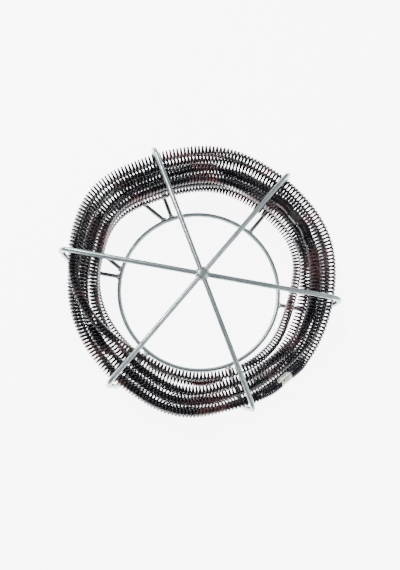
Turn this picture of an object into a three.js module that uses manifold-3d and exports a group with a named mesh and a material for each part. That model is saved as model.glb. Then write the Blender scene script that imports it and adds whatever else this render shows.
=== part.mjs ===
// A set of five sectional drain-cleaning cables, joined end to end and coiled inside a wire carrier.
// Millimetres, +Z up. The carrier stands on its ring side, the origin is on its axis at floor level.
import * as THREE from 'three';
import { mergeVertices } from 'three/addons/utils/BufferGeometryUtils.js';
import Module from 'manifold-3d';

// ---- Driving dimensions ----------------------------------------------------------------------

const CAGE_DIAMETER = 456; // outside the six wall rods
const ROD = 8; // carrier wire diameter
const BEND_RADIUS = 16; // centre line of each spoke rod's two bends
const SPOKES = 6;
const FIRST_SPOKE = 52; // degrees, counter-clockwise from +X
const RING_RADIUS = 143.5; // centre line of the ring on the floor side

const HUB_DIAMETER = 17;
const HUB_HEIGHT = 11;
const HUB_DOME = 1.6;

const HANDLE_BEARING = 142; // degrees, midway between two spokes
const HANDLE_SPAN = 120; // between the legs' centre lines
const HANDLE_REACH = 246; // from the carrier's axis to the crossbar's centre line
const HANDLE_CORNER = 34;

const CABLE_DIAMETER = 16;
const SECTION_LENGTH = 2286; // one section with its couplings
const SECTIONS = 5;
const LANE_GAP = 1; // between turns lying beside each other
const LAYER_GAP = 0.15; // between turns lying on each other
const LEVELS = 5; // turns on each other where the stack is tallest
const WALL_SLACK = 0.43; // added to what the turns need to clear the rods' bends
const FLOOR_SLACK = 0.83;
const HEAD_SLACK = 0.23;

const BARREL_INSET = 0.1; // of the couplings' surface under the cable's
const FEMALE_BARREL = 11; // length that shows outside the cable
const MALE_COLLAR = 7.5;
const STEM_DIAMETER = 9.6; // the part of a coupling that is fixed inside the cable's bore
const STEM_LENGTH = 8;
const SLOT_LIP = 2.5; // wall that holds the lug's head back
const LUG_HEAD_LENGTH = 6;
const LUG_HEAD_HEIGHT = 10.6;
const LUG_NECK_HEIGHT = 6;

const PLUNGER_DIAMETER = 3.1;
const PLUNGER_LENGTH = 6;
const PLUNGER_PROUD = 1.3; // how far it stands out of the lug when it is released
const PLUNGER_BORE_DEPTH = 8.6;
const SPRING_WIRE = 0.55;

const SEAT = 0.3; // gap left between pieces that are welded, pressed or seated together
const SLIDE = 0.3; // running clearance round the lug and the plunger

const ROD_SIDES = 12;
const CABLE_SIDES = 8;
const CABLE_STEPS = 74;

// ---- How the cable lies ----------------------------------------------------------------------
// The turns lie in lanes, counted inwards from the wall rods, and in levels, counted up from the
// floor rods. Bearings run on past 360 degrees, one turn after another, counter-clockwise.

// What a turn lying in the corner of a rod's bend needs on each side.
const CORNER_CLEARANCE = (BEND_RADIUS - ROD / 2 - CABLE_DIAMETER / 2) * (1 - Math.SQRT1_2);
const WALL_CLEARANCE = CORNER_CLEARANCE + WALL_SLACK;
const FLOOR_CLEARANCE = CORNER_CLEARANCE + FLOOR_SLACK;
const HEAD_CLEARANCE = CORNER_CLEARANCE + HEAD_SLACK;
const LANE = CABLE_DIAMETER + LANE_GAP;
const LAYER = CABLE_DIAMETER + LAYER_GAP;
const STACK_HEIGHT = CABLE_DIAMETER + (LEVELS - 1) * LAYER;
const CAGE_HEIGHT = 2 * ROD + FLOOR_CLEARANCE + STACK_HEIGHT + HEAD_CLEARANCE; // floor to the spokes' top
const BARREL_DIAMETER = CABLE_DIAMETER - 2 * BARREL_INSET;

const lane = (n) => CAGE_DIAMETER / 2 - ROD - WALL_CLEARANCE - CABLE_DIAMETER / 2 - n * LANE;
const level = (n) => ROD + FLOOR_CLEARANCE + CABLE_DIAMETER / 2 + n * LAYER;

const SHIFT = 0.12; // turns that a step to the next lane takes
const CLIMB = 0.09; // turns that a step to the next level takes

// Each step starts at a bearing, in turns, and ends in a lane and a level.
const NEATLY_WOUND = [
  { at: -6.5, lane: 1, level: 0 },
  { at: 0.34, lane: 0, level: 0 },
  { at: 1.18, lane: 0, level: 1 },
  { at: 2.13, lane: 1, level: 1 },
  { at: 3.13, lane: 2, level: 1 },
  { at: 3.98, lane: 2, level: 2 },
  { at: 4.85, lane: 1, level: 2 },
  { at: 5.85, lane: 0, level: 2 },
  { at: 6.74, lane: 0, level: 3 },
];

// The last section crosses the top, drops down inside the others, runs on under them and ends loose.
const LOOSE_RADIUS = [
  [6.83, lane(0)],
  [7.44, lane(0) - 1],
  [7.68, lane(3) - 1],
  [7.94, lane(3)],
  [8.11, lane(1) - 7],
  [8.45, lane(1) - 8],
  [8.64, lane(3) + 3],
  [8.95, lane(3) + 4],
];
const LOOSE_LEVEL = [
  [6.83, 3],
  [7.8, 3],
  [8, 0],
  [8.95, 0],
];
const SHOWN_JOINT = 6.866; // bearing, in turns, of the last joined coupling

// Part of the pack rides one level up on the loose end, in levels by bearing in turns.
const RIDE = [
  [0.055, 1],
  [0.6, 1],
  [0.79, 0],
  [0.895, 0],
  [1.055, 1],
];
const RIDERS_END = 7.8; // the turns before this ride, the loose end after it lies on the floor rods

// Between the rods the springy cable bellies out past its lanes.
const BELLIES = [
  { bearing: 22, depth: 3.5 },
  { bearing: 82, depth: 3.5 },
  { bearing: 142, depth: 10 },
  { bearing: 202, depth: 1 },
  { bearing: 262, depth: 8 },
  { bearing: 322, depth: 1.5 },
];
const BELLY_HALF_WIDTH = 27; // degrees

const smooth = (x) => x * x * (3 - 2 * x);
const clamp = (x, low, high) => Math.min(high, Math.max(low, x));

// Value of a list of [bearing, value] stations, eased from one to the next.
function eased(stations, turn) {
  if (turn <= stations[0][0]) return stations[0][1];
  for (let i = 1; i < stations.length; i += 1) {
    const [from, a] = stations[i - 1];
    const [to, b] = stations[i];
    if (turn <= to) return a + (b - a) * smooth((turn - from) / (to - from));
  }
  return stations[stations.length - 1][1];
}

// Stations of one quantity of the neatly wound part, which holds between its steps.
function steps(quantity) {
  const stations = [];
  let before = NEATLY_WOUND[0];
  for (const step of NEATLY_WOUND.slice(1)) {
    const width = step.level === before.level ? SHIFT : CLIMB;
    stations.push([step.at, quantity(before)], [step.at + width, quantity(step)]);
    before = step;
  }
  return stations;
}

const RADIUS_STATIONS = [...steps((step) => lane(step.lane)), ...LOOSE_RADIUS];
const LEVEL_STATIONS = [...steps((step) => step.level), ...LOOSE_LEVEL];

function belly(turn, radius) {
  const reach = clamp((radius - lane(3)) / (lane(2) - lane(3)), 0, 1);
  let depth = 0;
  for (const { bearing, depth: most } of BELLIES) {
    const off = ((((turn * 360 - bearing + 180) % 360) + 360) % 360) - 180;
    if (Math.abs(off) < BELLY_HALF_WIDTH) {
      depth += most * Math.cos(((off / BELLY_HALF_WIDTH) * Math.PI) / 2) ** 2;
    }
  }
  return depth * reach;
}

function ride(turn) {
  if (turn > RIDERS_END) return 0;
  const share = turn - Math.floor(turn);
  return eased(RIDE, share < RIDE[0][0] ? share + 1 : share);
}

function routeAtTurn(turn) {
  const radius = eased(RADIUS_STATIONS, turn);
  const r = radius + belly(turn, radius);
  const angle = turn * 2 * Math.PI;
  const z = level(eased(LEVEL_STATIONS, turn) + ride(turn));
  return new THREE.Vector3(r * Math.cos(angle), r * Math.sin(angle), z);
}

// The route by arc length, measured from the joint that shows, back to the first end and on to the last.
const JOINT_OVERLAP = SLOT_LIP + LUG_HEAD_LENGTH + SLIDE * 2; // how deep a lug sits in its slot
const PITCH = SECTION_LENGTH - JOINT_OVERLAP; // from one joint to the next
const TURN_STEP = 1 / 720;

function measureRoute() {
  const distances = [0];
  const turns = [SHOWN_JOINT];
  const walk = (direction, length, add) => {
    let turn = SHOWN_JOINT;
    let here = routeAtTurn(turn);
    let gone = 0;
    while (gone < length) {
      turn += direction * TURN_STEP;
      const next = routeAtTurn(turn);
      gone += next.distanceTo(here);
      here = next;
      add(direction * gone, turn);
    }
  };
  walk(-1, (SECTIONS - 1) * PITCH + 60, (d, t) => {
    distances.unshift(d);
    turns.unshift(t);
  });
  walk(1, PITCH + 60, (d, t) => {
    distances.push(d);
    turns.push(t);
  });
  return { distances, turns };
}

const MEASURED = measureRoute();

function routeAt(distance) {
  const { distances, turns } = MEASURED;
  let low = 0;
  let high = distances.length - 1;
  while (high - low > 1) {
    const middle = (low + high) >> 1;
    if (distances[middle] <= distance) low = middle;
    else high = middle;
  }
  const share = (distance - distances[low]) / (distances[high] - distances[low]);
  return routeAtTurn(turns[low] + (turns[high] - turns[low]) * share);
}

// ---- Joints along the route ------------------------------------------------------------------
// A joined pair of couplings is stiff, so the cable runs straight through it for a short way.

const STIFF_REACH = FEMALE_BARREL + STEM_LENGTH + SEAT; // from the joint's face to the end of a stem
const STIFF_FADE = 26;
const STIFF_INSET = 0.9; // sets the straight piece in, so that its ends don't stand out of the lane
const UP = new THREE.Vector3(0, 0, 1);

function jointFrame(distance) {
  const at = routeAt(distance);
  const along = routeAt(distance + STIFF_REACH).sub(routeAt(distance - STIFF_REACH)).normalize();
  const across = new THREE.Vector3().crossVectors(UP, along).normalize();
  const up = new THREE.Vector3().crossVectors(along, across);
  return { distance, at: at.addScaledVector(across, STIFF_INSET), along, across, up };
}

// Joint 0 is the first end, joint SECTIONS the last; the joint that shows is the last but one.
const JOINTS = Array.from({ length: SECTIONS + 1 }, (_, i) => jointFrame((i - SECTIONS + 1) * PITCH));

function cablePoint(distance) {
  const point = routeAt(distance);
  for (const joint of JOINTS) {
    const off = distance - joint.distance;
    const fade = clamp((STIFF_REACH + STIFF_FADE - Math.abs(off)) / STIFF_FADE, 0, 1);
    if (fade > 0) point.lerp(joint.at.clone().addScaledVector(joint.along, off), smooth(fade));
  }
  return point;
}

// ---- Shapes ----------------------------------------------------------------------------------

// A path through given points, with one step of an extrusion at each of them.
class PointPath extends THREE.Curve {
  constructor(points) {
    super();
    this.points = points;
  }

  getPoint(share) {
    const last = this.points.length - 1;
    const place = clamp(share, 0, 1) * last;
    const index = Math.min(Math.floor(place), last - 1);
    return this.points[index].clone().lerp(this.points[index + 1], place - index);
  }

  getPointAt(share) {
    return this.getPoint(share);
  }

  getTangentAt(share) {
    const last = this.points.length - 1;
    const index = Math.round(share * last);
    const before = this.points[Math.max(index - 1, 0)];
    const here = this.points[index];
    const after = this.points[Math.min(index + 1, last)];
    const incoming = here.clone().sub(before).normalize();
    const outgoing = after.clone().sub(here).normalize();
    return incoming.add(outgoing).normalize();
  }
}

// A regular polygon with flats towards its own axes; radius is to the corners.
function polygon(radius, sides) {
  return Array.from({ length: sides }, (_, i) => {
    const angle = ((i + 0.5) / sides) * 2 * Math.PI;
    return new THREE.Vector2(radius * Math.cos(angle), radius * Math.sin(angle));
  });
}

function tube(points, radius, sides) {
  return new THREE.ExtrudeGeometry(new THREE.Shape(polygon(radius, sides)), {
    extrudePath: new PointPath(points),
    steps: points.length - 1,
    bevelEnabled: false,
  });
}

const ROD_CORNER = ROD / 2 / Math.cos(Math.PI / ROD_SIDES); // so that the flats are ROD apart
const rodTube = (points) => tube(points, ROD_CORNER, ROD_SIDES);

// Points round a bend, from one direction to another, about a centre.
function arc(centre, from, to, radius, pieces) {
  return Array.from({ length: pieces + 1 }, (_, i) => {
    const angle = ((i / pieces) * Math.PI) / 2;
    return centre
      .clone()
      .addScaledVector(from, radius * Math.cos(angle))
      .addScaledVector(to, radius * Math.sin(angle));
  });
}

const BEND_PIECES = 5;
const bearing = (degrees) =>
  new THREE.Vector3(Math.cos((degrees * Math.PI) / 180), Math.sin((degrees * Math.PI) / 180), 0);

const wasm = await Module();
wasm.setup();

// A closed geometry as a solid for cutting and joining.
function solid(geometry) {
  const bare = geometry.clone();
  bare.deleteAttribute('normal');
  bare.deleteAttribute('uv');
  const merged = mergeVertices(bare, 1e-4);
  return new wasm.Manifold(
    new wasm.Mesh({
      numProp: 3,
      vertProperties: Float32Array.from(merged.attributes.position.array),
      triVerts: Uint32Array.from(merged.index.array),
    }),
  );
}

function geometryOf(manifold) {
  const mesh = manifold.getMesh();
  const geometry = new THREE.BufferGeometry();
  geometry.setAttribute('position', new THREE.BufferAttribute(Float32Array.from(mesh.vertProperties), 3));
  geometry.setIndex(new THREE.BufferAttribute(Uint32Array.from(mesh.triVerts), 1));
  geometry.computeVertexNormals();
  return geometry;
}

// Round bar along +X between two places.
function bar(diameter, from, to, sides = 20) {
  const geometry = new THREE.CylinderGeometry(diameter / 2, diameter / 2, to - from, sides);
  geometry.rotateZ(-Math.PI / 2);
  geometry.translate((from + to) / 2, 0, 0);
  return solid(geometry);
}

// Round bar along +Z between two heights.
function pillar(diameter, x, from, to, sides = 12) {
  const geometry = new THREE.CylinderGeometry(diameter / 2, diameter / 2, to - from, sides);
  geometry.rotateX(Math.PI / 2);
  geometry.translate(x, 0, (from + to) / 2);
  return solid(geometry);
}

// Block as wide as a barrel, between two places along +X.
function block(from, to, height) {
  const geometry = new THREE.BoxGeometry(to - from, BARREL_DIAMETER * 1.2, height);
  geometry.translate((from + to) / 2, 0, 0);
  return solid(geometry);
}

// ---- Couplings, along +X with the joint's face at the origin ----------------------------------

const CAVITY_END = -(SLOT_LIP + LUG_HEAD_LENGTH + 2 * SLIDE);
const HEAD_START = -(SLOT_LIP + SLIDE);
const HEAD_END = HEAD_START - LUG_HEAD_LENGTH;
const PLUNGER_X = (HEAD_START + HEAD_END) / 2;
const HEAD_TOP = LUG_HEAD_HEIGHT / 2;
const PLUNGER_BORE = PLUNGER_DIAMETER + 2 * SLIDE;
const PLUNGER_TOP = HEAD_TOP + PLUNGER_PROUD;
const PLUNGER_FOOT = PLUNGER_TOP - PLUNGER_LENGTH;
const BORE_FLOOR = HEAD_TOP - PLUNGER_BORE_DEPTH;
const OVERRUN = 1; // how far a cutter passes the face it opens

function femaleCoupling() {
  const body = bar(BARREL_DIAMETER, -FEMALE_BARREL, 0).add(
    bar(STEM_DIAMETER, -FEMALE_BARREL - STEM_LENGTH, -FEMALE_BARREL + OVERRUN),
  );
  const cavity = block(CAVITY_END, -SLOT_LIP, LUG_HEAD_HEIGHT + 2 * SLIDE);
  const mouth = block(-SLOT_LIP - OVERRUN, OVERRUN, LUG_NECK_HEIGHT + 2 * SLIDE);
  const catchHole = pillar(PLUNGER_BORE, PLUNGER_X, 0, BARREL_DIAMETER);
  return geometryOf(body.subtract(cavity).subtract(mouth).subtract(catchHole));
}

function maleCoupling() {
  const head = block(HEAD_END, HEAD_START, LUG_HEAD_HEIGHT);
  const neck = block(HEAD_START - OVERRUN, SEAT + OVERRUN, LUG_NECK_HEIGHT);
  const lug = head.add(neck).intersect(bar(BARREL_DIAMETER, HEAD_END - OVERRUN, MALE_COLLAR));
  const body = lug
    .add(bar(BARREL_DIAMETER, SEAT, MALE_COLLAR))
    .add(bar(STEM_DIAMETER, MALE_COLLAR - OVERRUN, MALE_COLLAR + STEM_LENGTH));
  return geometryOf(body.subtract(pillar(PLUNGER_BORE, PLUNGER_X, BORE_FLOOR, BARREL_DIAMETER)));
}

// The plunger's rounded tip stands in the female's hole; both it and its spring are upright.
function plunger() {
  const radius = PLUNGER_DIAMETER / 2;
  const profile = [
    [0, PLUNGER_FOOT],
    [radius, PLUNGER_FOOT],
    [radius, PLUNGER_TOP - radius / 2],
    [radius / 2, PLUNGER_TOP],
    [0, PLUNGER_TOP],
  ].map(([r, z]) => new THREE.Vector2(r, z));
  return new THREE.LatheGeometry(profile, 12).rotateX(Math.PI / 2).translate(PLUNGER_X, 0, 0);
}

function plungerSpring() {
  const outer = PLUNGER_DIAMETER / 2;
  const [foot, top] = [BORE_FLOOR + SEAT, PLUNGER_FOOT - SEAT];
  const profile = [
    [outer - SPRING_WIRE, foot],
    [outer, foot],
    [outer, top],
    [outer - SPRING_WIRE, top],
    [outer - SPRING_WIRE, foot],
  ].map(([r, z]) => new THREE.Vector2(r, z));
  return new THREE.LatheGeometry(profile, 12).rotateX(Math.PI / 2).translate(PLUNGER_X, 0, 0);
}

// ---- Cable sections --------------------------------------------------------------------------

const SOCKET_DIAMETER = STEM_DIAMETER + 2 * SEAT + 0.1;

// The bore at one end of a section that takes a coupling's stem, set at a joint.
function socket(joint, from, to) {
  const cutter = bar(SOCKET_DIAMETER, from, to);
  const pose = new THREE.Matrix4().makeBasis(joint.along, joint.across, joint.up).setPosition(joint.at);
  return cutter.transform(pose.elements);
}

// Distances of the tube's steps: one piece lies straight along each stem, the rest are even.
function cableStations(start, first, last, end) {
  const [from, to] = [first + STIFF_REACH, last - STIFF_REACH];
  const even = Array.from({ length: CABLE_STEPS + 1 }, (_, i) => from + ((to - from) * i) / CABLE_STEPS);
  return [start, ...even, end];
}

function cableSection(index) {
  const [first, last] = [JOINTS[index], JOINTS[index + 1]];
  const from = MALE_COLLAR + SEAT;
  const to = -FEMALE_BARREL - SEAT;
  const points = cableStations(first.distance + from, first.distance, last.distance, last.distance + to).map(
    cablePoint,
  );
  const depth = STEM_LENGTH + SEAT;
  return geometryOf(
    solid(tube(points, CABLE_DIAMETER / 2, CABLE_SIDES))
      .subtract(socket(first, from - OVERRUN, from + depth))
      .subtract(socket(last, to - depth, to + OVERRUN)),
  );
}

// ---- Carrier ---------------------------------------------------------------------------------

const FLOOR_PLANE = ROD / 2;
const SPOKE_PLANE = CAGE_HEIGHT - ROD / 2;
const WALL_RADIUS = CAGE_DIAMETER / 2 - ROD / 2;

// One rod: from the hub outwards, down the wall and back in to the ring.
function spokeRod(degrees) {
  const out = bearing(degrees);
  const down = UP.clone().negate();
  const place = (radius, z) => out.clone().multiplyScalar(radius).setZ(z);
  const bendRadius = WALL_RADIUS - BEND_RADIUS;
  const upper = arc(place(bendRadius, SPOKE_PLANE - BEND_RADIUS), UP, out, BEND_RADIUS, BEND_PIECES);
  const lower = arc(place(bendRadius, FLOOR_PLANE + BEND_RADIUS), out, down, BEND_RADIUS, BEND_PIECES);
  return rodTube([
    place(HUB_DIAMETER / 2 + SEAT, SPOKE_PLANE),
    ...upper,
    ...lower,
    place(RING_RADIUS + ROD_CORNER + SEAT, FLOOR_PLANE),
  ]);
}

function farRing() {
  const profile = polygon(ROD_CORNER, ROD_SIDES).map((p) => p.add(new THREE.Vector2(RING_RADIUS, FLOOR_PLANE)));
  profile.push(profile[0].clone());
  return new THREE.LatheGeometry(profile, 48).rotateX(Math.PI / 2);
}

function hubBoss() {
  const [foot, top] = [SPOKE_PLANE - HUB_HEIGHT / 2, SPOKE_PLANE + HUB_HEIGHT / 2 - HUB_DOME];
  const profile = [[0, foot], [HUB_DIAMETER / 2, foot], [HUB_DIAMETER / 2, top]];
  profile.push([HUB_DIAMETER * 0.36, top + HUB_DOME * 0.75], [HUB_DIAMETER * 0.2, top + HUB_DOME]);
  profile.push([0, top + HUB_DOME]);
  return new THREE.LatheGeometry(profile.map(([r, z]) => new THREE.Vector2(r, z)), 24).rotateX(Math.PI / 2);
}

// A U of the same wire lying on the floor plane: two legs from the ring and a crossbar past the wall.
function carryHandle() {
  const out = bearing(HANDLE_BEARING);
  const side = bearing(HANDLE_BEARING + 90);
  const half = HANDLE_SPAN / 2;
  const ringEdge = RING_RADIUS + ROD_CORNER + SEAT;
  const legStart = Math.sqrt(ringEdge ** 2 - (half - ROD_CORNER) ** 2);
  const place = (reach, across) =>
    out.clone().multiplyScalar(reach).addScaledVector(side, across).setZ(FLOOR_PLANE);
  const [reach, corner] = [HANDLE_REACH - HANDLE_CORNER, half - HANDLE_CORNER];
  const back = side.clone().negate();
  return rodTube([
    place(legStart, half),
    ...arc(place(reach, corner), side, out, HANDLE_CORNER, BEND_PIECES),
    ...arc(place(reach, -corner), out, back, HANDLE_CORNER, BEND_PIECES),
    place(legStart, -half),
  ]);
}

// ---- Assembly --------------------------------------------------------------------------------

const ZINC = { color: 0xb9c4c6, roughness: 0.35, metalness: 1 };
const BLACK_STEEL = { color: 0x15161a, roughness: 0.45, metalness: 0.6 };
const PLATED_COUPLING = { color: 0xc9cbc2, roughness: 0.4, metalness: 0.9 };
const HARD_STEEL = { color: 0x6f7377, roughness: 0.3, metalness: 1 };

const carrier = new THREE.Group();
const cablePack = new THREE.Group();
const object = new THREE.Group();
object.add(carrier, cablePack);

function piece(group, name, geometry, finish) {
  const mesh = new THREE.Mesh(geometry, new THREE.MeshStandardMaterial(finish));
  mesh.name = name;
  group.add(mesh);
  return mesh;
}

piece(carrier, 'hub_boss', hubBoss(), ZINC);
for (let i = 0; i < SPOKES; i += 1) {
  piece(carrier, `spoke_rod_${i + 1}`, spokeRod(FIRST_SPOKE + (i * 360) / SPOKES), ZINC);
}
piece(carrier, 'floor_ring', farRing(), ZINC);
piece(carrier, 'carry_handle', carryHandle(), ZINC);

for (let i = 0; i < SECTIONS; i += 1) {
  piece(cablePack, `cable_${i + 1}`, cableSection(i), BLACK_STEEL);
}

function jointGroup(joint) {
  const group = new THREE.Group();
  const pose = new THREE.Matrix4().makeBasis(joint.along, joint.across, joint.up).setPosition(joint.at);
  pose.decompose(group.position, group.quaternion, group.scale);
  cablePack.add(group);
  return group;
}

// Each section has a male coupling at its first end and a female one at its last.
for (let i = 0; i <= SECTIONS; i += 1) {
  const group = jointGroup(JOINTS[i]);
  if (i > 0) piece(group, `female_coupling_${i}`, femaleCoupling(), PLATED_COUPLING);
  if (i < SECTIONS) {
    piece(group, `male_coupling_${i + 1}`, maleCoupling(), PLATED_COUPLING);
    piece(group, `lock_plunger_${i + 1}`, plunger(), HARD_STEEL);
    piece(group, `plunger_spring_${i + 1}`, plungerSpring(), HARD_STEEL);
  }
}

export default object;
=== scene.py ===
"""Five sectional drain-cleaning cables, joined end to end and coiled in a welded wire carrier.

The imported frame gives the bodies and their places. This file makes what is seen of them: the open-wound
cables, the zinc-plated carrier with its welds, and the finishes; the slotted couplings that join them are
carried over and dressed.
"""

import logging
import math
from collections.abc import Callable, Sequence
from dataclasses import dataclass, field
from enum import Enum

import bpy
import numpy as np
from mathutils import Matrix, Vector

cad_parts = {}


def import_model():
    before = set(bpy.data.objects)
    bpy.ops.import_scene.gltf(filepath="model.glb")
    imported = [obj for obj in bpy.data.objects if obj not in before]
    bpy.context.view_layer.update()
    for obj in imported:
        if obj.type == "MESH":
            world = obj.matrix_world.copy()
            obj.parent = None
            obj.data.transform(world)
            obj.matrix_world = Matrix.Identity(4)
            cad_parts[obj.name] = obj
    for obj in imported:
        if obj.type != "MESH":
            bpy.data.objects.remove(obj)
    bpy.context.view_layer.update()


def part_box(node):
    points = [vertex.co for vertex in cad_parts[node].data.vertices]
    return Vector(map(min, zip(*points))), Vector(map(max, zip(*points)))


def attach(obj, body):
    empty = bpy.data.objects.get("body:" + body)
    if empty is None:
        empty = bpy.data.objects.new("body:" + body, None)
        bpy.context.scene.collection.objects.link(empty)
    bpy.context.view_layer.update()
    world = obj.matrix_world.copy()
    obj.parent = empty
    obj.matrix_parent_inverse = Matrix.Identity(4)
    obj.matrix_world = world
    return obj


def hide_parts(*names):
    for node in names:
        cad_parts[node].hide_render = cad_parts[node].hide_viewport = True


log = logging.getLogger("drain_cables")

SECTIONS = 5
CARRIER_BODY = "carrier"
PACK_BODY = "cable_pack"
UP = Vector((0.0, 0.0, 1.0))
Stations = Sequence[tuple[float, float]]
Socket = bpy.types.NodeSocket


# ---- Shader maths -------------------------------------------------------------------------------


class Value:
    """A number that varies over a surface; arithmetic on it adds Math nodes."""

    def __init__(self, graph: "Graph", socket: Socket) -> None:
        """Wrap an output socket of a node in a graph."""
        self.graph = graph
        self.socket = socket

    def _math(self, operation: str, *operands: "Value | float", clamp: bool = False) -> "Value":
        """Add a Math node.

        Args:
            operation: The Math node's operation.
            operands: Its inputs in order.
            clamp: Whether the result is kept from 0 to 1.

        Returns:
            The node's result.
        """
        sockets = dict(enumerate(operands))
        node = self.graph.add("ShaderNodeMath", {"operation": operation, "use_clamp": clamp}, sockets)
        return Value(self.graph, node.outputs[0])

    def __add__(self, other: "Value | float") -> "Value":
        """Sum."""
        return self._math("ADD", self, other)

    def __sub__(self, other: "Value | float") -> "Value":
        """Difference."""
        return self._math("SUBTRACT", self, other)

    def __rsub__(self, other: "Value | float") -> "Value":
        """Difference from a number."""
        return self._math("SUBTRACT", other, self)

    def __mul__(self, other: "Value | float") -> "Value":
        """Product."""
        return self._math("MULTIPLY", self, other)

    def __truediv__(self, other: "Value | float") -> "Value":
        """Quotient."""
        return self._math("DIVIDE", self, other)

    __radd__ = __add__
    __rmul__ = __mul__

    def between(self, low: float, high: float) -> "Value":
        """Give 0 at low, 1 at high and a clamped ramp between them."""
        return self._math("MULTIPLY_ADD", self, 1 / (high - low), -low / (high - low), clamp=True)


class Graph:
    """The node tree of one material."""

    def __init__(self, name: str) -> None:
        """Start a material that holds one Principled shader."""
        self.material = bpy.data.materials.new(name)
        self.material.use_nodes = True
        self.tree = self.material.node_tree
        self.shader = self.tree.nodes["Principled BSDF"]
        self.place = self.add("ShaderNodeTexCoord").outputs["Object"]

    def add(
        self,
        kind: str,
        settings: dict[str, object] | None = None,
        sockets: dict[object, object] | None = None,
    ) -> bpy.types.Node:
        """Add any node.

        Args:
            kind: The node's type.
            settings: Its properties, set first.
            sockets: Its inputs by name or number, each a value, a socket or a Value.

        Returns:
            The node.
        """
        node = self.tree.nodes.new(kind)
        for key, value in (settings or {}).items():
            setattr(node, key, value)
        for key, value in (sockets or {}).items():
            self.feed(node.inputs[key], value)
        return node

    def feed(self, into: Socket, value: object) -> None:
        """Link a socket or a Value into an input, or set the input to a plain value."""
        if isinstance(value, Value):
            value = value.socket
        if isinstance(value, bpy.types.NodeSocket):
            self.tree.links.new(value, into)
        else:
            into.default_value = value

    def noise(
        self, size: float, detail: float = 3.0, rough: float = 0.5, stretch: Sequence[float] | None = None
    ) -> Value:
        """Add noise.

        Args:
            size: Width of its main features, in metres.
            detail: How many finer layers it has.
            rough: How strong they are.
            stretch: Scale of the coordinates along X, Y and Z, if they are stretched.

        Returns:
            The noise, about 0.5.
        """
        vector = self.place
        if stretch:
            mapping = self.add("ShaderNodeMapping", None, {"Vector": vector, "Scale": tuple(stretch)})
            vector = mapping.outputs[0]
        sockets = {"Vector": vector, "Scale": 1 / size, "Detail": detail, "Roughness": rough}
        return Value(self, self.add("ShaderNodeTexNoise", None, sockets).outputs[0])

    def blend(self, share: Value, first: object, second: object) -> Socket:
        """Mix two colours by a share of the second."""
        colours = [(*c, 1.0) if isinstance(c, tuple) and len(c) == 3 else c for c in (first, second)]
        sockets = {0: share, 6: colours[0], 7: colours[1]}
        return self.add("ShaderNodeMix", {"data_type": "RGBA"}, sockets).outputs[2]

    def bump(self, height: Value, depth: float, strength: float = 1.0) -> Socket:
        """Turn a height into a normal; depth is the relief in metres."""
        sockets = {"Height": height, "Distance": depth, "Strength": strength}
        return self.add("ShaderNodeBump", None, sockets).outputs[0]

    def finish(self, **inputs: object) -> bpy.types.Material:
        """Feed the Principled shader, by its inputs' names with underscores for spaces."""
        for key, value in inputs.items():
            self.feed(self.shader.inputs[key.replace("_", " ")], value)
        return self.material


# ---- Finishes -----------------------------------------------------------------------------------


@dataclass(frozen=True)
class ZincPlate:
    """Bright zinc on drawn wire, a little blue, with dull clouds and draw marks."""

    colour: tuple[float, float, float] = (0.37, 0.425, 0.435)
    dull: tuple[float, float, float] = (0.19, 0.23, 0.24)
    roughness: float = 0.27

    def material(self) -> bpy.types.Material:
        """Make the material."""
        graph = Graph("zinc_plate")
        clouds = graph.noise(0.018, 4.0, 0.6)
        grain = graph.noise(0.0009, 3.0, 0.6)
        pits = graph.noise(0.0022, 2.0).between(0.62, 0.72)
        worn = (clouds.between(0.42, 0.66) * 0.75 + pits * 0.35).between(0.0, 1.0)
        return graph.finish(
            Base_Color=graph.blend(worn, self.colour, self.dull),
            Metallic=1.0,
            Roughness=worn * 0.16 + grain * 0.10 + (self.roughness - 0.05),
            Normal=graph.bump(grain * 0.5 + clouds - pits * 0.6, 0.00012, 0.6),
        )


@dataclass(frozen=True)
class WeldMetal:
    """Plated weld metal: silvery, coarse and slightly stained."""

    colour: tuple[float, float, float] = (0.62, 0.64, 0.63)
    stain: tuple[float, float, float] = (0.22, 0.20, 0.18)

    def material(self) -> bpy.types.Material:
        """Make the material."""
        graph = Graph("weld_metal")
        lumps = graph.noise(0.0028, 3.0, 0.6)
        stain = graph.noise(0.006, 4.0, 0.65).between(0.52, 0.72) * 0.7
        return graph.finish(
            Base_Color=graph.blend(stain, self.colour, self.stain),
            Metallic=0.95,
            Roughness=lumps * 0.3 + 0.22,
            Normal=graph.bump(lumps, 0.0005, 0.8),
        )


@dataclass(frozen=True)
class BlackSpringWire:
    """Blued-black spring wire with an oily gloss and patches of thin red-brown rust."""

    colour: tuple[float, float, float] = (0.006, 0.0065, 0.009)
    bloom: tuple[float, float, float] = (0.018, 0.020, 0.026)
    rust: tuple[float, float, float] = (0.17, 0.058, 0.055)

    def material(self) -> bpy.types.Material:
        """Make the material."""
        graph = Graph("black_spring_wire")
        where = graph.noise(0.055, 3.0, 0.55).between(0.50, 0.64)
        speck = graph.noise(0.0032, 4.0, 0.65).between(0.40, 0.66)
        rust = where * speck
        bloom = graph.noise(0.012, 4.0, 0.6).between(0.40, 0.75)
        grain = graph.noise(0.0007, 2.0, 0.6)
        steel = graph.blend(bloom, self.colour, self.bloom)
        return graph.finish(
            Base_Color=graph.blend(rust * 0.9, steel, self.rust),
            Metallic=0.55 - rust * 0.45,
            Roughness=rust * 0.32 + bloom * 0.12 + grain * 0.08 + 0.17,
            Normal=graph.bump(grain * 0.4 + rust, 0.00008, 0.7),
            Specular_IOR_Level=0.6,
        )


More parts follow.
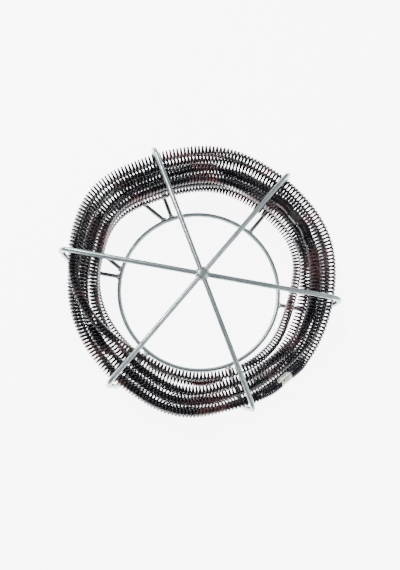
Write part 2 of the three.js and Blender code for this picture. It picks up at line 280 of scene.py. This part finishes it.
@dataclass(frozen=True)
class PlatedCoupling:
    """Turned steel under a yellowed plating, with lathe rings, scuffs and grease in the low places."""

    name: str = "plated_coupling"
    colour: tuple[float, float, float] = (0.74, 0.74, 0.69)
    yellow: tuple[float, float, float] = (0.55, 0.49, 0.36)
    grime: tuple[float, float, float] = (0.07, 0.065, 0.055)

    def material(self) -> bpy.types.Material:
        """Make the material."""
        graph = Graph(self.name)
        patches = graph.noise(0.007, 3.0, 0.55).between(0.45, 0.65)
        grime = graph.noise(0.0026, 4.0, 0.7).between(0.58, 0.70)
        scuffs = graph.noise(0.0006, 3.0, 0.6, stretch=(1.0, 1.0, 5.0))
        plating = graph.blend(patches * 0.7, self.colour, self.yellow)
        return graph.finish(
            Base_Color=graph.blend(grime * 0.8, plating, self.grime),
            Metallic=0.9,
            Roughness=patches * 0.12 + grime * 0.25 + scuffs * 0.12 + 0.22,
            Normal=graph.bump(scuffs - grime * 0.5, 0.00007, 0.7),
        )


@dataclass(frozen=True)
class GreasyCoupling(PlatedCoupling):
    """The same turned steel, blued and dark with grease."""

    name: str = "greasy_coupling"
    colour: tuple[float, float, float] = (0.055, 0.056, 0.060)
    yellow: tuple[float, float, float] = (0.10, 0.085, 0.065)
    grime: tuple[float, float, float] = (0.012, 0.011, 0.010)


@dataclass(frozen=True)
class HardSteel:
    """Bright hardened steel with a straw-coloured temper and ground marks in rings."""

    colour: tuple[float, float, float] = (0.50, 0.51, 0.53)
    temper: tuple[float, float, float] = (0.42, 0.36, 0.25)
    ring_pitch: float = 0.00075

    def material(self) -> bpy.types.Material:
        """Make the material."""
        graph = Graph("hard_steel")
        temper = graph.noise(0.004, 3.0, 0.6).between(0.45, 0.65)
        sockets = {"Vector": graph.place, "Scale": 0.314 / self.ring_pitch, "Distortion": 0.4}
        rings = Value(graph, graph.add("ShaderNodeTexWave", {"bands_direction": "Z"}, sockets).outputs[1])
        return graph.finish(
            Base_Color=graph.blend(temper, self.colour, self.temper),
            Metallic=1.0,
            Roughness=temper * 0.12 + rings * 0.08 + 0.2,
            Normal=graph.bump(rings, 0.0001, 0.6),
        )


class Finish(Enum):
    """The finishes of the set, by the record's material slot and the class that makes each."""

    ZINC = ("zinc_wire", ZincPlate)
    WELD = ("zinc_wire", WeldMetal)
    WIRE = ("black_cable", BlackSpringWire)
    COUPLING = ("plated_coupling", PlatedCoupling)
    GREASY = ("plated_coupling", GreasyCoupling)
    STEEL = ("hard_steel", HardSteel)


class Finishes:
    """Makes each finish once and dresses pieces in it."""

    def __init__(self) -> None:
        """Start with no finish made."""
        self.made: dict[Finish, bpy.types.Material] = {}

    def dress(self, piece: bpy.types.Object, finish: Finish) -> None:
        """Give a new piece its only material."""
        piece.data.materials.clear()
        piece.data.materials.append(self._material(finish))

    def dress_node(self, node: str, finish: Finish) -> None:
        """Give a carried-over node a better material."""
        for slot in bpy.data.objects[node].material_slots:
            slot.material = self._material(finish)

    def _material(self, finish: Finish) -> bpy.types.Material:
        """Return the finish's material, made on its first use."""
        if finish not in self.made:
            self.made[finish] = finish.value[1]().material()
        return self.made[finish]


# ---- How the cable lies -------------------------------------------------------------------------


def eased(stations: Stations, turns: np.ndarray) -> np.ndarray:
    """Read a list of (turn, value) stations, eased from one to the next.

    Args:
        stations: The stations in order.
        turns: Where to read them.

    Returns:
        One value for each turn.
    """
    at = np.array([turn for turn, _ in stations])
    value = np.array([v for _, v in stations])
    turns = np.clip(turns, at[0], at[-1])
    step = np.clip(np.searchsorted(at, turns, side="right") - 1, 0, len(at) - 2)
    share = (turns - at[step]) / (at[step + 1] - at[step])
    return value[step] + (value[step + 1] - value[step]) * smooth(share)


def smooth(share: np.ndarray) -> np.ndarray:
    """Ease a share from 0 to 1 at both ends."""
    return share * share * (3 - 2 * share)


@dataclass(frozen=True)
class JointFrame:
    """Where two sections meet, and which way the cable runs there."""

    distance: float
    at: np.ndarray
    along: np.ndarray


@dataclass
class CableLay:
    """The one route that all the sections follow round the carrier, in turns from +X.

    The turns lie in lanes, counted inwards from the wall rods, and in levels, counted up from the floor
    rods. The last section crosses the top, drops down inside the others, runs on under
    them and ends loose by the ring.
    """

    wall: float = 0.220
    rod: float = 0.008
    cable: float = 0.016
    spacing: float = 0.017
    layer: float = 0.01615
    wall_clearance: float = 0.0016016
    floor_clearance: float = 0.0020016
    section: float = 2.286
    overlap: float = 0.0091
    shown_joint: float = 6.866
    stiff_reach: float = 0.0193
    stiff_fade: float = 0.026
    stiff_inset: float = 0.0009
    shift: float = 0.12
    climb: float = 0.09
    # (turn where the step starts, lane, level)
    steps: tuple[tuple[float, int, int], ...] = (
        (-6.5, 1, 0),
        (0.34, 0, 0),
        (1.18, 0, 1),
        (2.13, 1, 1),
        (3.13, 2, 1),
        (3.98, 2, 2),
        (4.85, 1, 2),
        (5.85, 0, 2),
        (6.74, 0, 3),
    )
    # (bearing in degrees, depth) where the cable bellies out between two wall rods
    bellies: tuple[tuple[float, float], ...] = (
        (22.0, 0.0035),
        (82.0, 0.0035),
        (142.0, 0.010),
        (202.0, 0.001),
        (262.0, 0.008),
        (322.0, 0.0015),
    )
    belly_half_width: float = 27.0
    # (bearing in turns, levels) by which the turns ride up on the loose end, up to where it begins
    ride: tuple[tuple[float, float], ...] = ((0.055, 1), (0.6, 1), (0.79, 0), (0.895, 0), (1.055, 1))
    riders_end: float = 7.8
    # how far the turns of every second level slump inwards, off the ones that carry them
    slump: float = 0.003
    samples_a_turn: int = 720
    joints: list[JointFrame] = field(init=False)

    def __post_init__(self) -> None:
        """Measure the route and find the joints on it."""
        outer, second, _, fourth = (self.lane(n) for n in range(4))
        self.radii = self._stations(lambda lane, level: self.lane(lane)) + [
            (6.83, outer),
            (7.44, outer - 0.001),
            (7.68, fourth - 0.001),
            (7.94, fourth),
            (8.11, second - 0.007),
            (8.45, second - 0.008),
            (8.64, fourth + 0.003),
            (8.95, fourth + 0.004),
        ]
        self.levels = self._stations(lambda lane, level: level) + [(6.83, 3), (7.8, 3), (8, 0), (8.95, 0)]
        self.pitch = self.section - self.overlap
        steps = np.arange(-9 * self.samples_a_turn, 2.5 * self.samples_a_turn + 1)
        self._turns = self.shown_joint + steps / self.samples_a_turn
        points = self.at_turns(self._turns)
        gone = np.concatenate([[0.0], np.cumsum(np.linalg.norm(np.diff(points, axis=0), axis=1))])
        self._distances = gone - gone[9 * self.samples_a_turn]
        self.joints = []
        self.joints = [self._joint((i - SECTIONS + 1) * self.pitch) for i in range(SECTIONS + 1)]

    def lane(self, n: int) -> float:
        """Radius of a lane's centre line."""
        return self.wall - self.wall_clearance - self.cable / 2 - n * self.spacing

    def _stations(self, quantity: Callable[[int, int], float]) -> list[tuple[float, float]]:
        """Turn the steps of the neatly wound part into stations of one quantity."""
        stations = []
        _, *before = self.steps[0]
        for at, lane, level in self.steps[1:]:
            width = self.shift if level == before[1] else self.climb
            stations += [(at, quantity(*before)), (at + width, quantity(lane, level))]
            before = [lane, level]
        return stations

    def at_turns(self, turns: np.ndarray) -> np.ndarray:
        """Give the route's points at some turns, as rows of x, y and z."""
        radius = eased(self.radii, turns)
        reach = np.clip((radius - self.lane(3)) / (self.lane(2) - self.lane(3)), 0, 1)
        for bearing, depth in self.bellies:
            off = (turns * 360 - bearing + 180) % 360 - 180
            inside = np.abs(off) < self.belly_half_width
            radius = radius + inside * reach * depth * np.cos(off / self.belly_half_width * math.pi / 2) ** 2
        share = np.mod(turns, 1.0)
        lifted = eased(self.ride, np.where(share < self.ride[0][0], share + 1, share))
        level = eased(self.levels, turns) + np.where(turns > self.riders_end, 0.0, lifted)
        height = self.rod + self.floor_clearance + self.cable / 2 + level * self.layer
        angle = turns * 2 * math.pi
        return np.stack([radius * np.cos(angle), radius * np.sin(angle), height], axis=1)

    def at(self, distances: np.ndarray) -> np.ndarray:
        """Give the points at some distances from the joint that shows, before couplings stiffen it."""
        return self.at_turns(np.interp(distances, self._distances, self._turns))

    def _joint(self, distance: float) -> JointFrame:
        """Work out one joint's frame."""
        before, here, after = self.at(distance + self.stiff_reach * np.array([-1.0, 0.0, 1.0]))
        along = (after - before) / np.linalg.norm(after - before)
        across = np.cross([0.0, 0.0, 1.0], along)
        return JointFrame(distance, here + across / np.linalg.norm(across) * self.stiff_inset, along)

    def cable_points(self, distances: np.ndarray) -> np.ndarray:
        """Give the cable's centre line at some distances, straight through each joint."""
        turns = np.interp(distances, self._distances, self._turns)
        points = self.at_turns(turns)
        slumped = (1 + np.cos(math.pi * eased(self.levels, turns))) / 2 * (turns < self.riders_end)
        points[:, :2] *= 1 - (self.slump * slumped / np.linalg.norm(points[:, :2], axis=1))[:, None]
        for joint in self.joints:
            off = distances - joint.distance
            left = (self.stiff_reach + self.stiff_fade - np.abs(off)) / self.stiff_fade
            share = smooth(np.clip(left, 0, 1))
            straight = joint.at + off[:, None] * joint.along
            points = points + (straight - points) * share[:, None]
        return points


# ---- Cables -------------------------------------------------------------------------------------


@dataclass
class CableSection:
    """One section of open-wound cable, close-wound where its couplings are fixed inside it."""

    lay: CableLay
    index: int
    wire: float = 0.0035
    swell: float = 0.0006
    open_pitch: float = 0.0059
    close_pitch: float = 0.00358
    close_length: float = 0.022
    opening_length: float = 0.030
    male_end: float = 0.0078
    female_end: float = 0.0113
    segments: int = 12
    sides: int = 6

    @property
    def span(self) -> tuple[float, float]:
        """Distances along the lay of this section's two ends."""
        first, last = self.lay.joints[self.index - 1], self.lay.joints[self.index]
        return first.distance + self.male_end, last.distance - self.female_end

    def path(self, step: float = 0.006) -> np.ndarray:
        """Give the centre line's points, one about every step."""
        start, end = self.span
        return self.lay.cable_points(np.linspace(start, end, round((end - start) / step) + 1))

    def build(self, finishes: Finishes) -> bpy.types.Object:
        """Args:
            finishes: What dresses it.

        Returns:
            The piece.
        """
        piece = self._mesh_object()
        finishes.dress(piece, Finish.WIRE)
        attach(piece, PACK_BODY)
        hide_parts(f"cable_{self.index}")
        path = self.path()
        return piece

    def _winding(self) -> tuple[np.ndarray, np.ndarray]:
        """Work out the distance of every point of the wire and its angle round the cable."""
        start, end = (self.span[0] + self.wire / 2, self.span[1] - self.wire / 2)
        distance = np.linspace(start, end, 6000)
        from_end = np.minimum(distance - start, end - distance)
        opened = smooth(np.clip((from_end - self.close_length) / self.opening_length, 0, 1))
        pitch = self.close_pitch + (self.open_pitch - self.close_pitch) * opened
        turns = np.concatenate([[0.0], np.cumsum(np.diff(distance) / (pitch[1:] + pitch[:-1]) * 2)])
        wanted = np.linspace(0, turns[-1], round(turns[-1] * self.segments) + 1)
        return np.interp(wanted, turns, distance), -2 * math.pi * wanted

    def _mesh_object(self) -> bpy.types.Object:
        """Sweep the round wire along its left-hand winding."""
        distance, angle = self._winding()
        reach = 0.0008
        centre = self.lay.cable_points(distance)
        along = self.lay.cable_points(distance + reach) - self.lay.cable_points(distance - reach)
        along /= np.linalg.norm(along, axis=1)[:, None]
        across = np.cross([0.0, 0.0, 1.0], along)
        across /= np.linalg.norm(across, axis=1)[:, None]
        up = np.cross(along, across)
        outward = across * np.cos(angle)[:, None] + up * np.sin(angle)[:, None]
        wire = centre + outward * (self.lay.cable + self.swell - self.wire) / 2
        heading = np.gradient(wire, axis=0)
        side = np.cross(heading, outward)
        side /= np.linalg.norm(side, axis=1)[:, None]
        round_wire = np.arange(self.sides) * 2 * math.pi / self.sides
        ring = outward[:, None] * np.cos(round_wire)[:, None] + side[:, None] * np.sin(round_wire)[:, None]
        vertices = (wire[:, None] + ring * self.wire / 2).reshape(-1, 3)
        count, sides = len(wire), self.sides
        first = (np.arange(count - 1)[:, None] * sides + np.arange(sides)).ravel()
        second = (np.arange(count - 1)[:, None] * sides + (np.arange(sides) + 1) % sides).ravel()
        quads = np.stack([first, second, second + sides, first + sides], axis=1).tolist()
        caps = [list(range(sides))[::-1], [(count - 1) * sides + k for k in range(sides)]]
        mesh = bpy.data.meshes.new(f"wound_cable_{self.index}")
        mesh.from_pydata(vertices.tolist(), [], quads + caps)
        mesh.polygons.foreach_set("use_smooth", [True] * len(mesh.polygons))
        mesh.update()
        piece = bpy.data.objects.new(mesh.name, mesh)
        bpy.context.scene.collection.objects.link(piece)
        return piece


# ---- Modelling by hand --------------------------------------------------------------------------


def deselect() -> None:
    """Deselect every object."""
    bpy.ops.object.select_all(action="DESELECT")


def settle(name: str) -> bpy.types.Object:
    """Name the active object and move its place into its mesh."""
    piece = bpy.context.object
    bpy.ops.object.transform_apply(location=True, rotation=True, scale=True)
    piece.name = piece.data.name = name
    return piece


def smooth_by_angle(piece: bpy.types.Object, degrees: float = 40.0) -> None:
    """Shade a piece smooth except over its sharper edges."""
    deselect()
    piece.select_set(True)
    bpy.context.view_layer.objects.active = piece
    bpy.ops.object.shade_smooth_by_angle(angle=math.radians(degrees))


def apply_modifier(piece: bpy.types.Object, kind: str, **settings: object) -> None:
    """Add a modifier, set it and apply it."""
    deselect()
    piece.select_set(True)
    bpy.context.view_layer.objects.active = piece
    modifier = piece.modifiers.new(kind.lower(), kind)
    for key, value in settings.items():
        setattr(modifier, key, value)
    bpy.ops.object.modifier_apply(modifier=modifier.name)


class WireBender:
    """Draws round wire the way a bending bench does: straight runs and bends, one after another."""

    def __init__(self, start: Vector, heading: Vector, diameter: float, sides: int = 20) -> None:
        """Put a disc of wire's section at a start, facing a heading, and open it for editing."""
        deselect()
        self.at = start.copy()
        self.heading = heading.normalized()
        turn = self.heading.to_track_quat("Z", "Y").to_euler()
        bpy.ops.mesh.primitive_circle_add(
            vertices=sides, radius=diameter / 2, fill_type="NGON", location=start, rotation=turn
        )
        bpy.ops.object.transform_apply(location=True, rotation=True, scale=True)
        bpy.ops.object.mode_set(mode="EDIT")
        bpy.ops.mesh.select_all(action="SELECT")

    def run(self, length: float) -> "WireBender":
        """Draw a straight length."""
        step = self.heading * length
        bpy.ops.mesh.extrude_region_move(TRANSFORM_OT_translate={"value": step})
        self.at += step
        return self

    def bend(self, towards: Vector, radius: float, degrees: float = 90.0, steps: int = 12) -> "WireBender":
        """Bend the wire towards a direction at right angles to it, round a centre line's radius."""
        centre = self.at + towards.normalized() * radius
        axis = self.heading.cross(towards).normalized()
        bpy.ops.mesh.spin(steps=steps, angle=-math.radians(degrees), center=centre, axis=axis)
        turn = Matrix.Rotation(math.radians(degrees), 3, axis)
        self.at = centre + turn @ (self.at - centre)
        self.heading = turn @ self.heading
        return self

    def cut(self, name: str) -> bpy.types.Object:
        """Finish the piece: close it, face it outwards and name it."""
        bpy.ops.mesh.select_all(action="SELECT")
        bpy.ops.mesh.remove_doubles(threshold=1e-6)
        bpy.ops.mesh.normals_make_consistent(inside=False)
        bpy.ops.object.mode_set(mode="OBJECT")
        piece = settle(name)
        smooth_by_angle(piece)
        return piece


def bearing(degrees: float) -> Vector:
    """Give the level direction at a bearing from +X."""
    return Vector((math.cos(math.radians(degrees)), math.sin(math.radians(degrees)), 0.0))


# ---- Carrier ------------------------------------------------------------------------------------


@dataclass
class Carrier:
    """The welded wire carrier: hub, six rods, ring, handle and the welds between them."""

    finishes: Finishes
    diameter: float = 0.456
    rod: float = 0.008
    bend_radius: float = 0.016
    rods: int = 6
    first_rod: float = 52.0
    handle_bearing: float = 142.0
    handle_span: float = 0.120
    handle_corner: float = 0.034
    handle_reach: float = 0.246
    dome: float = 0.0016

    def __post_init__(self) -> None:
        """Read the carrier's planes and radii off the frame."""
        _, rod_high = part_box("spoke_rod_1")
        ring_low, ring_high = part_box("floor_ring")
        hub_low, hub_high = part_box("hub_boss")
        self.top_plane = rod_high[2] - self.rod / 2
        self.floor_plane = ring_high[2] - self.rod / 2
        self.ring_radius = (ring_high[0] - ring_low[0]) / 2 - self.rod / 2
        self.hub_radius = (hub_high[0] - hub_low[0]) / 2
        self.hub_span = (hub_low[2], hub_high[2])
        self.wall_radius = (self.diameter - self.rod) / 2

    def _place(self, piece: bpy.types.Object, finish: Finish, *nodes: str) -> None:
        """Dress a piece, let it ride on the carrier and let it stand for its nodes."""
        self.finishes.dress(piece, finish)
        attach(piece, CARRIER_BODY)
        if nodes:
            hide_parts(*nodes)
        log.info("%s: %d faces", piece.name, len(piece.data.polygons))

    def build(self) -> None:
        """Make every piece of the carrier."""
        self._place(self._hub(), Finish.ZINC, "hub_boss")
        for i in range(self.rods):
            degrees = self.first_rod + i * 360 / self.rods
            self._place(self._spoke(degrees, i + 1), Finish.ZINC, f"spoke_rod_{i + 1}")
        self._place(self._ring(), Finish.ZINC, "floor_ring")
        self._place(self._handle(), Finish.ZINC, "carry_handle")
        self._place(self._hub_weld(), Finish.WELD)
        for i in range(self.rods):
            out = bearing(self.first_rod + i * 360 / self.rods)
            self._place(self._bead(f"rod_weld_{i + 1}", out, self._ring_edge(out, 0.0)), Finish.WELD)
        out = bearing(self.handle_bearing)
        for i, side in enumerate((-1, 1)):
            foot = self._ring_edge(out, side * self.handle_span / 2)
            self._place(self._bead(f"handle_weld_{i + 1}", out, foot), Finish.WELD)

    def _ring_edge(self, out: Vector, across: float) -> Vector:
        """Find where a rod laid along a direction, set off sideways, meets the ring's outside."""
        side = UP.cross(out)
        edge = self.ring_radius + self.rod / 2
        reach = math.sqrt(edge**2 - across**2)
        return out * reach + side * across + UP * self.floor_plane

    def _hub(self) -> bpy.types.Object:
        """Turn the hub: a stub with a rounded shoulder and a low dome."""
        low, high = self.hub_span
        deselect()
        bpy.ops.mesh.primitive_cylinder_add(
            vertices=48,
            radius=self.hub_radius,
            depth=high - low - self.dome,
            location=(0, 0, (low + high - self.dome) / 2),
        )
        bpy.ops.object.transform_apply(location=True, rotation=True, scale=True)
        bpy.ops.object.mode_set(mode="EDIT")
        bpy.ops.mesh.select_all(action="DESELECT")
        bpy.ops.object.mode_set(mode="OBJECT")
        mesh = bpy.context.object.data
        for face in mesh.polygons:
            face.select = face.normal.z > 0.9
        bpy.ops.object.mode_set(mode="EDIT")
        for inset, rise in ((0.0011, 0.0007), (0.0018, 0.0005), (0.0023, 0.0004)):
            bpy.ops.mesh.inset(thickness=inset)
            bpy.ops.transform.translate(value=(0, 0, rise))
        bpy.ops.object.mode_set(mode="OBJECT")
        piece = settle("hub")
        smooth_by_angle(piece, 50)
        return piece

    def _spoke(self, degrees: float, number: int) -> bpy.types.Object:
        """Bend one rod: out from the hub, down the wall and back in to the ring."""
        out = bearing(degrees)
        reach = self.wall_radius - self.bend_radius
        start = self.hub_radius - 0.0006
        end = self.ring_radius + self.rod / 2 - 0.0006
        wall = self.top_plane - self.floor_plane - 2 * self.bend_radius
        bender = WireBender(out * start + UP * self.top_plane, out, self.rod)
        bender.run(reach - start).bend(-UP, self.bend_radius).run(wall).bend(-out, self.bend_radius)
        return bender.run(reach - end).cut(f"spoke_{number}")

    def _ring(self) -> bpy.types.Object:
        """Roll the ring."""
        deselect()
        bpy.ops.mesh.primitive_torus_add(
            major_segments=120,
            minor_segments=20,
            major_radius=self.ring_radius,
            minor_radius=self.rod / 2,
            location=(0, 0, self.floor_plane),
        )
        piece = settle("ring")
        smooth_by_angle(piece)
        return piece

    def _handle(self) -> bpy.types.Object:
        """Bend the carrying handle: a U whose legs are welded to the ring."""
        out = bearing(self.handle_bearing)
        side = UP.cross(out)
        half = self.handle_span / 2
        start = self._ring_edge(out, half) - out * 0.0006
        bender = WireBender(start, out, self.rod)
        leg = self.handle_reach - self.handle_corner - start.dot(out)
        bender.run(leg).bend(-side, self.handle_corner).run(self.handle_span - 2 * self.handle_corner)
        return bender.bend(-out, self.handle_corner).run(leg).cut("handle")

    def _hub_weld(self) -> bpy.types.Object:
        """Lay the weld collar round the hub, over the rods' ends."""
        deselect()
        bpy.ops.mesh.primitive_torus_add(
            major_segments=72,
            minor_segments=12,
            major_radius=self.hub_radius + 0.0007,
            minor_radius=0.0025,
            location=(0, 0, self.top_plane),
        )
        bpy.ops.object.mode_set(mode="EDIT")
        bpy.ops.mesh.select_all(action="SELECT")
        bpy.ops.transform.resize(value=(1, 1, 1.5), center_override=(0, 0, self.top_plane))
        bpy.ops.object.mode_set(mode="OBJECT")
        return self._roughen(settle("hub_weld"), 0.0012)

    def _bead(self, name: str, out: Vector, foot: Vector) -> bpy.types.Object:
        """Lay one fillet weld where a rod meets the ring."""
        deselect()
        turn = math.atan2(out.y, out.x)
        bpy.ops.mesh.primitive_uv_sphere_add(
            segments=24, ring_count=14, radius=1.0, location=foot, rotation=(0, 0, turn)
        )
        bpy.context.object.scale = (0.0034, 0.0066, 0.0037)
        return self._roughen(settle(name), 0.0011)

    def _roughen(self, piece: bpy.types.Object, strength: float) -> bpy.types.Object:
        """Give weld metal its ripples."""
        ripple = bpy.data.textures.get("weld_ripple") or bpy.data.textures.new("weld_ripple", "CLOUDS")
        ripple.noise_scale = 0.0032
        settings = {"texture": ripple, "texture_coords": "LOCAL", "strength": strength, "mid_level": 0.55}
        apply_modifier(piece, "DISPLACE", **settings)
        smooth_by_angle(piece, 80)
        return piece


# ---- Couplings ----------------------------------------------------------------------------------


@dataclass
class Couplings:
    """The slotted couplings, their lock plungers and springs, carried over with their finishes."""

    finishes: Finishes
    clean: tuple[str, ...] = ("female_coupling_4", "male_coupling_5")

    def build(self) -> None:
        """Dress every node that shows as it is; the last joined pair is the cleanest."""
        for i in range(1, SECTIONS + 1):
            for node in (f"female_coupling_{i}", f"male_coupling_{i}"):
                self.finishes.dress_node(node, Finish.COUPLING if node in self.clean else Finish.GREASY)
            for part in ("lock_plunger", "plunger_spring"):
                self.finishes.dress_node(f"{part}_{i}", Finish.STEEL)


# ---- Studio -------------------------------------------------------------------------------------


@dataclass
class Studio:
    """The camera, the soft lights and the pale floor."""

    focal_pixels: float = 363.1
    frame_height: float = 570.0
    shift: float = 80.0
    eye: tuple[float, float, float] = (-0.0251, -0.1937, 0.6437)
    turn: tuple[float, float, float] = (-0.0927, 0.0473, -0.0285)

    def build(self) -> None:
        """Set up the camera, the lights and the floor."""
        self._camera()
        self._light("key", (-0.9, 0.9, 1.5), 0.45, 34.0)
        self._light("fill", (1.2, -0.3, 1.4), 1.2, 9.0)
        self._world()
        self._floor()

    def _camera(self) -> None:
        """Place the camera; its turn is a rotation vector from the frame's axes to its own."""
        data = bpy.data.cameras.new("camera")
        data.lens = self.focal_pixels / self.frame_height * data.sensor_width
        data.shift_y = self.shift / self.frame_height
        data.clip_start = 0.01
        camera = bpy.data.objects.new("camera", data)
        axis = Vector(self.turn)
        turn = Matrix.Rotation(axis.length, 4, axis.normalized()).inverted()
        camera.matrix_world = Matrix.Translation(self.eye) @ turn
        bpy.context.scene.collection.objects.link(camera)
        bpy.context.scene.camera = camera

    @staticmethod
    def _light(name: str, place: tuple[float, float, float], size: float, power: float) -> None:
        """Hang one square soft light that faces the carrier."""
        data = bpy.data.lights.new(name, "AREA")
        data.size = size
        data.energy = power
        light = bpy.data.objects.new(name, data)
        facing = Vector(place).to_track_quat("Z", "Y").to_matrix().to_4x4()
        light.matrix_world = Matrix.Translation(place) @ facing
        bpy.context.scene.collection.objects.link(light)

    @staticmethod
    def _world() -> None:
        """Fill the room with soft white light."""
        world = bpy.data.worlds.new("room")
        world.use_nodes = True
        background = world.node_tree.nodes["Background"]
        background.inputs["Color"].default_value = (0.95, 0.98, 1.0, 1.0)
        background.inputs["Strength"].default_value = 0.6
        bpy.context.scene.world = world

    @staticmethod
    def _floor() -> None:
        """Lay the pale floor under the carrier."""
        deselect()
        bpy.ops.mesh.primitive_plane_add(size=8, location=(0, 0, -0.0004))
        floor = settle("floor")
        graph = Graph("pale_floor")
        tone = graph.noise(0.6, 2.0)
        floor.data.materials.append(
            graph.finish(
                Base_Color=graph.blend(tone, (0.93, 0.93, 0.93), (0.97, 0.97, 0.97)),
                Roughness=0.9,
                Emission_Color=(1.0, 1.0, 1.0, 1.0),
                Emission_Strength=7.0,
            )
        )


def main() -> None:
    """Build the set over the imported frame."""
    logging.basicConfig(level=logging.INFO, format="%(message)s")
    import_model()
    Studio().build()
    finishes = Finishes()
    lay = CableLay()
    for index in range(1, SECTIONS + 1):
        CableSection(lay, index).build(finishes)
    Carrier(finishes).build()
    Couplings(finishes).build()


if __name__ == "__main__":
    main()
